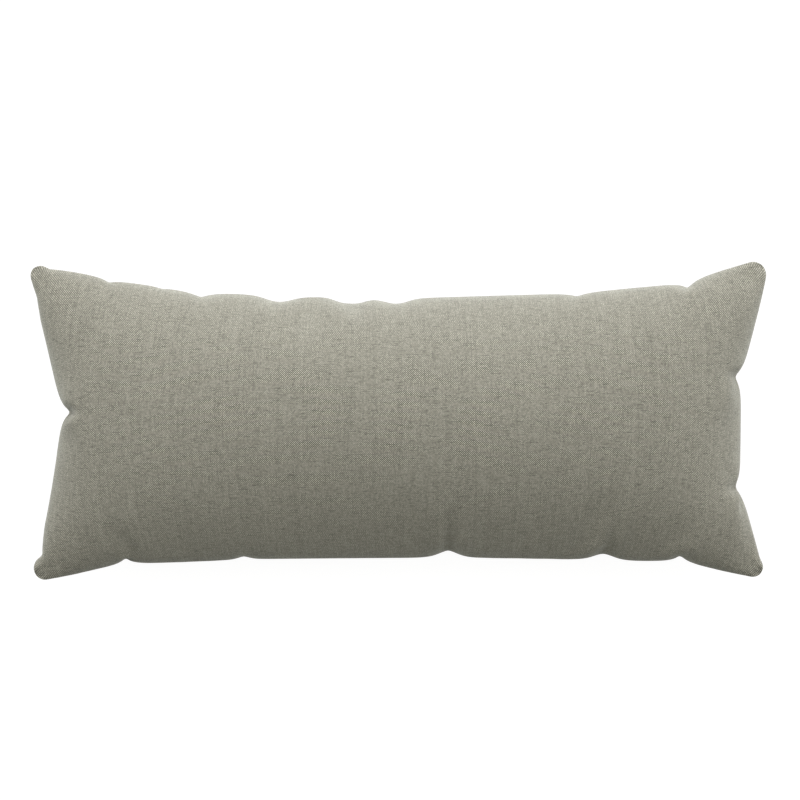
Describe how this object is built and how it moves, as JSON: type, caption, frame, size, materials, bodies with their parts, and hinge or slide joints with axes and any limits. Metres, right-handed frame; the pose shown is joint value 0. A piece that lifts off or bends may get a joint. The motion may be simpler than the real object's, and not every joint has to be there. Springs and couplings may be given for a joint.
{
  "type": "outdoor lumbar cushion",
  "caption": "Long, low outdoor cushion in a plain woven cloth, with a crowned face, drawn-in sides, blunt corner tips and a knife-edge seam.",
  "frame": {"origin": "bottom centre of the bounding box, in the middle of the flat spot that the cushion rests on", "axes": "+X along the cushion's length, +Y towards the edge that is uppermost when it stands, +Z out of its face"},
  "size_m": [0.7938, 0.343, 0.165],
  "materials": {
    "cover_cloth": "matt plain weave of lighter and darker grey-green yarns"
  },
  "bodies": {
    "root": {"cushion": "cover_cloth"}
  },
  "joints": []
}
